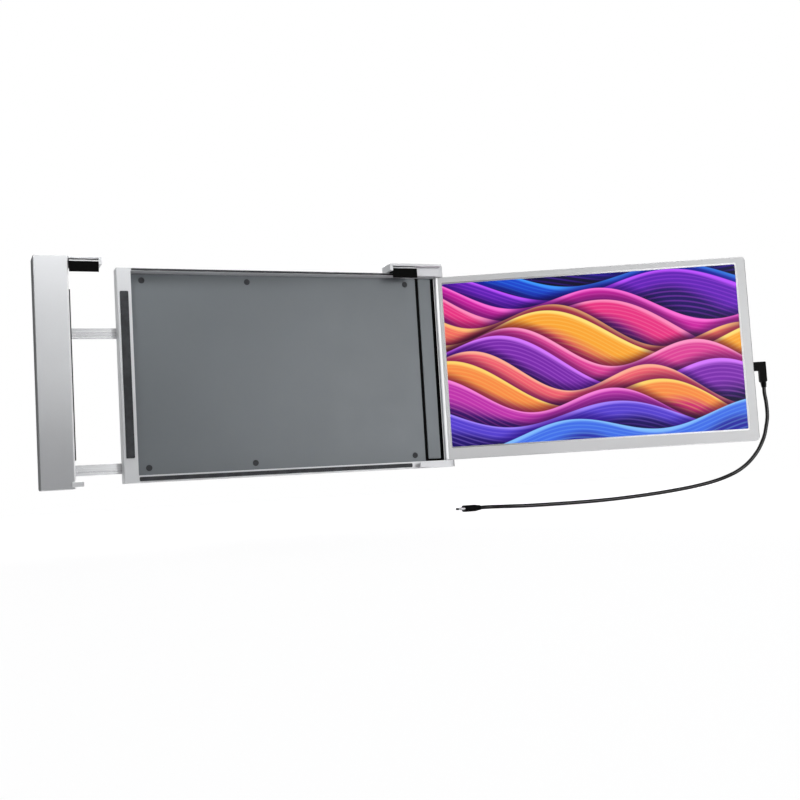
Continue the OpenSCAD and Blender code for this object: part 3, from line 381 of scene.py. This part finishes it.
def speaker_weave(name):
    """Black speaker boxes with a finely woven front."""
    graph = Graph(name)
    place = graph.xyz(on_screen(graph))
    across = graph.math("SINE", graph.math("MULTIPLY", place[0], WEAVE_RATE))
    upward = graph.math("SINE", graph.math("MULTIPLY", place[2], WEAVE_RATE))
    weave = graph.remap(graph.math("MULTIPLY", across, upward), -1, 1)
    graph.set(base_color=graph.mix(weave, (0.004, 0.004, 0.004, 1), (0.035, 0.035, 0.037, 1)))
    graph.set(roughness=graph.remap(weave, 0, 1, 0.6, 0.85))
    graph.bump(weave, depth=0.05, strength=0.6)
    return graph.material


def cord_jacket(name):
    """Smooth soft jacket with a faint sheen, a fine relief and a little dust."""
    graph = Graph(name)
    dust = graph.noise(240, detail=4, rough=0.6)
    dusty = graph.remap(dust, 0.45, 0.8)
    colour = graph.mix(dusty, (0.0015, 0.0015, 0.0015, 1), (0.006, 0.006, 0.006, 1))
    graph.set(base_color=colour, specular_ior_level=0.16)
    graph.set(roughness=graph.spread(dust, 0.16, 0.24))
    graph.bump(graph.noise(1100), depth=0.03, strength=0.4)
    return graph.material


# ---------- display picture ----------

# The picture is measured in its own heights: across runs to the right up to its width
PICTURE_W = 1.7777
# Each wave from the back to the front: its height at the left edge, slope, swing, quickness and
# phase of the swing, depth of its shading, and its rim, body and shade colours
WAVES = [
    (1.16, -0.02, 0.05, 2.1, 0.2, 0.22, (120, 60, 255), (32, 26, 150), (10, 6, 60)),
    (1.05, -0.06, 0.07, 2.5, 1.1, 0.20, (60, 150, 255), (24, 70, 205), (14, 12, 90)),
    (0.98, -0.05, 0.09, 2.2, 2.0, 0.20, (190, 80, 255), (96, 26, 180), (30, 8, 96)),
    (0.95, -0.12, 0.08, 2.8, 2.6, 0.18, (255, 110, 215), (205, 30, 160), (84, 8, 110)),
    (0.93, -0.20, 0.11, 2.3, 3.3, 0.20, (255, 140, 190), (232, 50, 130), (110, 10, 118)),
    (0.84, -0.16, 0.10, 2.9, 4.0, 0.16, (255, 190, 120), (244, 110, 96), (160, 22, 120)),
    (0.74, -0.10, 0.12, 2.4, 4.9, 0.18, (255, 226, 120), (250, 165, 50), (214, 60, 96)),
    (0.66, -0.13, 0.10, 3.0, 5.4, 0.15, (255, 150, 200), (222, 64, 150), (92, 18, 120)),
    (0.60, -0.17, 0.12, 2.5, 6.1, 0.18, (214, 120, 255), (120, 38, 170), (38, 12, 92)),
    (0.50, -0.14, 0.10, 3.1, 6.8, 0.15, (255, 176, 150), (240, 96, 112), (150, 22, 116)),
    (0.42, -0.15, 0.11, 2.6, 7.6, 0.16, (255, 214, 110), (248, 140, 70), (206, 44, 110)),
    (0.33, -0.12, 0.09, 3.0, 8.3, 0.14, (250, 130, 220), (190, 50, 170), (70, 16, 120)),
    (0.20, -0.06, 0.08, 2.4, 9.4, 0.15, (160, 130, 255), (84, 62, 205), (34, 14, 110)),
    (0.02, 0.06, 0.06, 2.9, 10.2, 0.16, (130, 190, 255), (64, 110, 232), (40, 40, 160)),
]
# Radians of swing to a picture height for a wave of quickness 1
SWING_RATE = 1.9
# The shading's depth changes along a wave: by which share of itself, how quickly, in the same
# radians, and with how many times the swing's phase
SHADING_SHARE, SHADING_RATE, SHADING_PHASE = 0.35, 2.6, 1.7
# How far above a wave its shadow falls on what lies behind, and how soft the wave's edge is
SHADOW_REACH, EDGE_SOFTNESS = 0.07, 0.004
# Pleats below a wave's edge: radians to a picture height, and the power that widens them downwards
PLEAT_RATE, PLEAT_POWER = 190, 0.8


def wave_shadow(graph, below):
    """The violet shadow that a wave throws just above its edge, as a colour to multiply with."""
    nearness = graph.remap(below, -SHADOW_REACH, 0.0, smooth=True)
    return graph.mix(nearness, (1, 1, 1, 1), (0.32, 0.12, 0.46, 1))


def wave_band(graph, below, reach, rim, body, shade):
    """A wave's colour from its bright rim down to its shade, with fine pleats along its edge."""
    stops = [(0.0, rim), (0.07, rim), (0.16, body), (0.55, body), (1.0, shade)]
    band = graph.ramp(graph.math("DIVIDE", below, reach, clamp=True), stops)
    depth = graph.math("POWER", graph.math("MAXIMUM", below, 0), PLEAT_POWER)
    pleats = graph.math("SINE", graph.math("MULTIPLY", depth, PLEAT_RATE))
    return graph.mix(graph.remap(pleats, 0.1, 1.0, 0.0, 0.22), band, rim)


def display_picture(name):
    """A plain backlit picture of overlapping soft waves in warm and violet tones."""
    graph = Graph(name)
    place = graph.xyz(on_screen(graph))
    share = graph.remap(place[0], DISPLAY_X0 * MM, (DISPLAY_X0 + DISPLAY_W) * MM)
    across = graph.math("MULTIPLY", share, PICTURE_W)
    rise = graph.math("SUBTRACT", place[2], DISPLAY_Z0 * MM)
    upward = graph.math("MULTIPLY", rise, PICTURE_W / (DISPLAY_W * MM))
    backdrop = [(0.0, linear(150, 16, 150)), (0.5, linear(70, 20, 160)), (1.0, linear(12, 60, 190))]
    picture = graph.ramp(share, backdrop)
    for start, slope, swing, quickness, phase, depth, rim, body, shade in WAVES:
        curve = graph.math("SINE", graph.math("MULTIPLY_ADD", across, quickness * SWING_RATE, phase))
        line = graph.math("MULTIPLY_ADD", across, slope, start)
        edge = graph.math("MULTIPLY_ADD", curve, swing, line)
        below = graph.math("SUBTRACT", edge, upward)
        picture = graph.mix(1.0, picture, wave_shadow(graph, below), "MULTIPLY")
        lit = graph.math("MULTIPLY_ADD", across, quickness * SHADING_RATE, phase * SHADING_PHASE)
        reach = graph.math("MULTIPLY_ADD", graph.math("SINE", lit), depth * SHADING_SHARE, depth)
        band = wave_band(graph, below, reach, linear(*rim), linear(*body), linear(*shade))
        picture = graph.mix(graph.remap(below, 0.0, EDGE_SOFTNESS), picture, band)
    graph.set(base_color=(0.004, 0.004, 0.005, 1), roughness=0.35, specular_ior_level=0.06)
    graph.set(emission_color=picture, emission_strength=1.0)
    return graph.material


# ---------- dressing ----------

# Corners nearer than this are joined, faces that meet flatter than this become one, and edges
# sharper than this are rounded
SAME_CORNER = 0.002
FLAT_ANGLE = math.radians(0.5)
SHARP_ANGLE = math.radians(24)
# A dressed piece's materials: its own, its rounded edges' and then its areas', from these places
EDGE_SLOT, AREA_SLOT = 1, 2


def cleaned(node):
    """The CAD node's mesh as a bmesh with joined corners and whole flat faces."""
    solid = bmesh.new()
    solid.from_mesh(frame["nodes"][node].data)
    bmesh.ops.remove_doubles(solid, verts=solid.verts, dist=SAME_CORNER * MM)
    bmesh.ops.dissolve_limit(solid, angle_limit=FLAT_ANGLE, verts=solid.verts, edges=solid.edges)
    for face in solid.faces:
        face.smooth = True
        face.material_index = 0
    for edge in solid.edges:
        edge.smooth = edge.calc_face_angle(math.pi) < SHARP_ANGLE
    return solid


def round_edges(piece, width):
    """Rounds a piece's sharp edges by width millimetres, in its edge paint."""
    bevel = piece.modifiers.new("rounding", "BEVEL")
    bevel.width = width * MM
    bevel.segments = 2
    bevel.limit_method = "ANGLE"
    bevel.angle_limit = SHARP_ANGLE
    bevel.material = EDGE_SLOT
    normals = piece.modifiers.new("flat_faces_stay_flat", "WEIGHTED_NORMAL")
    normals.keep_sharp = True


def dressed(node, paint, width, edge=None, areas=()):
    """A piece that stands for a CAD node, with its edges rounded by width millimetres.
    The rounded edges get the edge paint, where there is one. Areas are pairs of a paint and a
    test of a face's normal and its middle in millimetres: the faces that pass get that paint,
    and the last pair that fits counts."""
    solid = cleaned(node)
    for face in solid.faces:
        middle = face.calc_center_median() / MM
        for index, (_, test) in enumerate(areas):
            if test(face.normal, middle):
                face.material_index = AREA_SLOT + index
    mesh = bpy.data.meshes.new(node + "_finish")
    solid.to_mesh(mesh)
    solid.free()
    for material in [paint, edge or paint] + [area[0] for area in areas]:
        mesh.materials.append(material)
    piece = new_object(node + "_finish", mesh)
    round_edges(piece, width)
    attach(piece, body_of[node])
    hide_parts(node)
    return piece


def dress_all(widths, paint, edge=None):
    """Dresses the nodes of a table, which gives the width of each one's rounding, in one paint."""
    for node, width in widths.items():
        dressed(node, paint, width, edge)


def paint_all(nodes, paint):
    """Gives carried-over CAD nodes their finish."""
    for node in nodes:
        for slot in frame["nodes"][node].material_slots:
            slot.link = "OBJECT"
            slot.material = paint


# ---------- tests of faces ----------

# A face is turned towards an axis when its normal's share along it is above the first of these.
# The free edge, and an ear's end and front, have their own shares
TURNED, FREE_EDGE_TURNED = 0.3, 0.2
EAR_END_TURNED, EAR_FRONT_TURNED = 0.55, 0.1
# Distances along the screen from the hinge axis: the end of its round edge, and the stretch
# that holds the window with its bevel, which ends where the free edge begins
TUBE_X1 = -0.05
WINDOW_X0, WINDOW_X1 = 2, 320
# The share of a normal towards the viewer that only the bevel's slopes have
SLOPE_LOW, SLOPE_HIGH = 0.15, 0.93
# The left panel's sides across the lid, how far in from them its outer side's and its bevel's
# faces have their middles, and the same for an ear's outer end
PANEL_X0, PANEL_X1 = [corner.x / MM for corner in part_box("left_panel")]
PANEL_SIDE_W, PANEL_BEVEL_W = 1.45, 2.85
EAR_X1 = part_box("lower_ear")[1].x / MM
EAR_END_W = 4.2
# Height above which a slope on a jaw's front is the line along its top
JAW_LINE_Z = 200


def along_screen(middle):
    """How far along the screen from the hinge axis a place in millimetres is."""
    return (middle - HINGE / MM) @ ALONG_SCREEN


def on_hinge_tube(_, middle):
    """The round edge beside the hinge, which is given a painted highlight."""
    return along_screen(middle) < TUBE_X1


def on_window_bevel(normal, middle):
    """The slopes round the display's window."""
    sloped = SLOPE_LOW < normal @ TO_VIEWER < SLOPE_HIGH
    return sloped and WINDOW_X0 < along_screen(middle) < WINDOW_X1


def on_free_edge(normal, middle):
    """The rounded front edge at the screen's free end, which is given painted shade."""
    return normal @ ALONG_SCREEN > FREE_EDGE_TURNED and along_screen(middle) > WINDOW_X1


def on_lower_edge(normal, _):
    """The screen's lower side and the rounding in front of it, which are given painted shade."""
    return normal.z < -TURNED


def on_panel_side(normal, middle):
    """The side of the left panel that faces away from the laptop, which is given painted shade."""
    return normal.x < -TURNED and middle.x < PANEL_X0 + PANEL_SIDE_W


def on_panel_bevel(normal, middle):
    """The bevel along the left panel's edge beside the lid, painted near white as a painted highlight."""
    return normal.x > TURNED and normal.y < -TURNED and middle.x > PANEL_X1 - PANEL_BEVEL_W


def on_jaw_line(normal, middle):
    """The slope along the top of a jaw's front, painted as a bright silver trim line that is also a painted
    highlight.
    """
    return normal.y < -TURNED and normal.z > TURNED and middle.z > JAW_LINE_Z


def on_ear_end(normal, middle):
    """The last strip of an ear's rounded front corner, which is given painted shade."""
    turned = normal.x > EAR_END_TURNED and normal.y < -EAR_FRONT_TURNED
    return turned and middle.x > EAR_X1 - EAR_END_W


# ---------- the part ----------

def make_paints():
    """The finishes of all dressed pieces. The pale, dark and bright silvers on narrow faces are painted light and
    shade: painted highlights on rounded edges, the panel's bevel, the hinge tube and the jaws' top lines, painted
    shade on the panel's side, the screen's lower side and free edge and an ear's end, and a painted reflection on
    the window's bevel."""
    steel_colour = (0.44, 0.445, 0.455, 1)
    return {
        "silver": silver_paint("silver", (0.63, 0.64, 0.655, 1)),
        # The panel's silver carries painted shade that darkens it towards the bottom
        "panel": silver_paint("panel_silver_painted_shade", (0.65, 0.66, 0.675, 1), bottom_shade=0.69),
        "bezel": silver_paint("bezel_silver", (0.57, 0.575, 0.58, 1), rough=0.5),
        # The bezel's rounded edges are painted paler as a painted highlight
        "bezel_edge_painted_highlight": silver_paint("bezel_edge_painted_highlight", (0.74, 0.745, 0.75, 1), metal=0.0, rough=0.45,
                                   gloss=0.1),
        # Painted shade for narrow faces at an ear's end and the screen's free edge
        "shade": silver_paint("silver_painted_shade", (0.20, 0.205, 0.21, 1), metal=0.0, rough=0.5, gloss=0.0),
        # Painted shade for the panel's outer side and the screen's lower side
        "side": silver_paint("silver_side_painted_shade", (0.36, 0.365, 0.375, 1), metal=0.0, rough=0.5, gloss=0.0),
        "grey": silver_paint("grey_panel", (0.129, 0.144, 0.155, 1), metal=0.05, rough=0.45),
        # Rounded edges of the silver parts, polished and painted paler as a painted highlight
        "bright": polished_edge("silver_edge_painted_highlight", (0.95, 0.955, 0.96, 1)),
        # The hinge tube: polished, and painted near white as a painted highlight
        "mirror": polished_edge("polished_tube_painted_highlight", (0.97, 0.975, 0.98, 1), metal=0.75, rough=0.3),
        # A near-white painted highlight for the bevel along the left panel's edge
        "white": polished_edge("bright_line_painted_highlight", (0.96, 0.965, 0.97, 1), metal=0.1, rough=0.3),
        # The window's bevel has a painted reflection, dark at the hinge and bright further along
        "window": painted_light_window_bevel("painted_light_window_bevel", (0.30, 0.305, 0.31, 1), (0.97, 0.975, 0.98, 1)),
        "black": moulded_plastic("black_plastic", (0.003, 0.003, 0.003, 1), gloss=0.01),
        "plug": moulded_plastic("plug_black", (0.0035, 0.0035, 0.0035, 1), gloss=0.02, rough=0.42,
                                grain=2100, depth=0.02),
        "rubber": soft_rubber("rubber", (0.012, 0.012, 0.013, 1)),
        "grey_rubber": soft_rubber("grey_rubber", (0.030, 0.031, 0.034, 1)),
        "steel": brushed_metal("steel", steel_colour, rough=0.28, lines=(3, 3, 0.3)),
        "rails": brushed_metal("rail_steel", steel_colour, rough=0.28, lines=(0.03, 5, 9)),
        "bronze": brushed_metal("bronze", (0.52, 0.38, 0.16, 1), rough=0.35, lines=(6, 6, 1)),
        "tinplate": brushed_metal("sheet_metal", (0.52, 0.53, 0.54, 1), rough=0.4, lines=(1, 1, 5)),
    }


def dress_silver_parts(paints):
    silver, bright = paints["silver"], paints["bright"]
    # The lower ear's rounded end gets a strip of painted shade
    dressed("lower_ear", silver, 0.35, bright, [(paints["shade"], on_ear_end)])
    dress_all({"base_shell": 0.25, "upper_ear": 0.35, "right_hook": 0.25, "left_hook": 0.25,
               "right_clip_cover": 0.22, "left_clip_cover": 0.22, "stand_plate": 0.25}, silver, bright)
    # The panels' outer sides get painted shade and their bevels a painted highlight
    for node in ["left_panel", "left_panel_back"]:
        dressed(node, paints["panel"], 0.3, bright,
                [(paints["side"], on_panel_side), (paints["white"], on_panel_bevel)])
    # The screen's lower side and free edge get painted shade, the window's bevel a painted reflection and the
    # hinge tube a painted highlight
    dressed("screen_bezel", paints["bezel"], 0.15, paints["bezel_edge_painted_highlight"],
            [(paints["side"], on_lower_edge), (paints["window"], on_window_bevel),
             (paints["mirror"], on_hinge_tube), (paints["shade"], on_free_edge)])
    # The rear cover's part of the hinge tube gets the same painted highlight
    dressed("screen_rear_cover", silver, 0.25, bright, [(paints["mirror"], on_hinge_tube)])


def dress_grey_and_black_parts(paints):
    dress_all({"floor_panel": 0.2, "upright_plate": 0.3, "power_button": 0.2, "plus_button": 0.2,
               "minus_button": 0.2}, paints["grey"])
    # The jaws have their slopes from the model and get no rounding
    # Each jaw's top slope is painted bright silver: a trim line, and a painted highlight on the chamfer
    for node in ["right_clip_jaw", "left_clip_jaw"]:
        dressed(node, paints["black"], 0.0, areas=[(paints["bright"], on_jaw_line)])
    dress_all({"slide_guides": 0.25, "hinge_upright": 0.25}, paints["black"])
    dress_all({"right_hook_pad": 0.12, "left_hook_pad": 0.12, "right_clip_pad": 0.2,
               "left_clip_pad": 0.2, "stand_foot": 0.2, "rear_feet": 0.2}, paints["rubber"])
    dress_all({"seat_strips": 0.15, "recess_bumpers": 0.15, "lid_side_pad": 0.15},
              paints["grey_rubber"])


def dress_steel_parts(paints):
    dress_all({"hinge_pins": 0.12, "ear_screws": 0.12, "base_screws": 0.12, "arm_screws": 0.12,
               "right_clip_blade": 0.12, "left_clip_blade": 0.12}, paints["steel"])
    dress_all({"slide_rails": 0.12, "stand_pin": 0.12}, paints["rails"])
    paint_all(["right_clip_spring", "left_clip_spring", "usb_c_sockets", "mini_hdmi_socket",
               "angle_plug_tip", "far_plug_tip"], paints["steel"])


def paint_inside_of_screen(paints):
    paint_all(["hinge_sleeves"], paints["bronze"])
    paint_all(["backlight_plate"], paints["tinplate"])
    paint_all(["lcd_panel"], display_picture("display_picture"))
    paint_all(["driver_board"], board_green("circuit_board"))
    paint_all(["board_parts"], chip_black("chips"))
    paint_all(["key_switches"], chip_black("switches"))
    paint_all(["speakers"], speaker_weave("speaker_weave"))


def dress_plugs(paints):
    """Both plugs of the cord. Their strain reliefs are carried over."""
    paint_all(["angle_plug_relief", "far_plug_relief"], paints["plug"])
    return [dressed(node, paints["plug"], 0.5) for node in ("angle_plug", "far_plug")]


# ---------- cord ----------

CORD_D = 3.9 * MM
# The cord's centre line in millimetres, from the angled plug's relief to the far plug's relief
CORD_POINTS = [
    (511.7, -135.1, 59.3), (511.7, -135.1, 53), (512.3, -135.7, 44.5), (512.5, -135.9, 35.3),
    (511.8, -136, 27), (509.7, -135.5, 18), (507.1, -135, 9.3), (502.7, -134.5, 0.8),
    (496.9, -133.5, -7.6), (489, -132, -15.9), (480, -130.5, -22.6), (468, -128, -28.8),
    (448.5, -125, -34.8), (425, -120.5, -39.2), (399.5, -116, -42.3), (374, -111.5, -44.6),
    (348.5, -107, -46.3), (323.5, -102.5, -47.4), (297.5, -97.5, -47.9), (272, -93, -48),
    (248, -89, -47.9), (228.5, -85.5, -47.4), (212, -81, -46.9), (205, -80, -46.8),
    (198, -80, -46.8),
]


def make_cord(jacket):
    """The lead between the two plugs, through the same points as the model's own."""
    points = [Vector(point) * MM for point in CORD_POINTS]
    curve = bpy.data.curves.new("lead", "CURVE")
    curve.dimensions = "3D"
    curve.resolution_u = 5
    curve.bevel_depth = CORD_D / 2
    curve.bevel_resolution = 5
    curve.use_fill_caps = True
    curve.materials.append(jacket)
    last = len(points) - 1
    spline = curve.splines.new("BEZIER")
    spline.bezier_points.add(last)
    for index, knot in enumerate(spline.bezier_points):
        # A handle is a third of the mean way to the two neighbours
        handle = (points[min(index + 1, last)] - points[max(index - 1, 0)]) / 6
        knot.handle_left_type = knot.handle_right_type = "FREE"
        knot.co = points[index]
        knot.handle_left = points[index] - handle
        knot.handle_right = points[index] + handle
    lead = new_object("lead", curve)
    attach(lead, "screen")
    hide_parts("cord")
    return lead


# ---------- studio, in metres ----------

FLOOR_HALF = 9.0
# Distances from the origin between which the floor's own glow rises, and the glow at each
GLOW_R0, GLOW_R1 = 0.6, 3.0
GLOW_NEAR, GLOW_FAR = 0.68, 0.86
# What most of the lamps point at
LAMP_TARGET = (0.1, 0, 0.1)


def make_floor():
    """A white floor that takes shadows, and glows only for the camera and in reflections."""
    corners = [(-1, -1), (1, -1), (1, 1), (-1, 1)]
    mesh = bpy.data.meshes.new("studio_floor")
    mesh.from_pydata([(x * FLOOR_HALF, y * FLOOR_HALF, FLOOR_Z) for x, y in corners], [],
                     [(0, 1, 2, 3)])
    floor = new_object("studio_floor", mesh)
    graph = Graph("floor_white")
    graph.set(base_color=(0.88, 0.88, 0.88, 1), roughness=0.9, specular_ior_level=0.0)
    glow = graph.remap(graph.length(graph.object), GLOW_R0, GLOW_R1, GLOW_NEAR, GLOW_FAR, smooth=True)
    seen_glow = graph.math("MULTIPLY", rays_to_white(graph.nodes, graph.links), glow)
    graph.set(emission_color=(1, 1, 1, 1), emission_strength=seen_glow)
    mesh.materials.append(graph.material)


def make_world():
    """Soft grey light all round, seen as white by the camera and in reflections."""
    world = bpy.data.worlds.new("studio")
    bpy.context.scene.world = world
    world.use_nodes = True
    nodes, links = world.node_tree.nodes, world.node_tree.links
    light = nodes["Background"]
    light.inputs["Color"].default_value = (0.98, 0.99, 1.0, 1)
    light.inputs["Strength"].default_value = 0.18
    white = nodes.new("ShaderNodeBackground")
    white.inputs["Color"].default_value = (1, 1, 1, 1)
    blend = nodes.new("ShaderNodeMixShader")
    links.new(rays_to_white(nodes, links), blend.inputs[0])
    links.new(light.outputs[0], blend.inputs[1])
    links.new(white.outputs[0], blend.inputs[2])
    links.new(blend.outputs[0], nodes["World Output"].inputs["Surface"])


def make_lamp(name, place, power, size=0.8, target=LAMP_TARGET, spread=180):
    """A square area lamp: its power in watts, its side in metres and its spread in degrees."""
    data = bpy.data.lights.new(name, "AREA")
    data.size = size
    data.energy = power
    data.spread = math.radians(spread)
    lamp = new_object(name, data)
    lamp.location = place
    lamp.rotation_mode = "QUATERNION"
    lamp.rotation_quaternion = (Vector(target) - Vector(place)).to_track_quat("-Z", "Y")
    lamp.visible_camera = False


def make_lamps():
    make_lamp("key_lamp", (0.6, -1.5, 0.2), 1.22, size=0.5, target=(0.4, -0.06, 0.1), spread=47)
    make_lamp("front_lamp", (0.2, -1.6, 0.9), 1)
    make_lamp("top_lamp", (0.1, -0.2, 1.9), 3.4)
    make_lamp("back_lamp", (0.3, 1.7, 0.9), 18)
    make_lamp("panel_lamp", (-0.18, -0.18, 0.34), 0.46, size=0.12, target=(-0.19, 0, 0.17))


# ---------- the scene ----------

make_camera()
lead = make_cord(cord_jacket("cord_black"))
paints = make_paints()
dress_silver_parts(paints)
dress_grey_and_black_parts(paints)
dress_steel_parts(paints)
paint_inside_of_screen(paints)
plugs = dress_plugs(paints)
make_floor()
make_world()
make_lamps()
bpy.context.scene.view_settings.view_transform = "Standard"
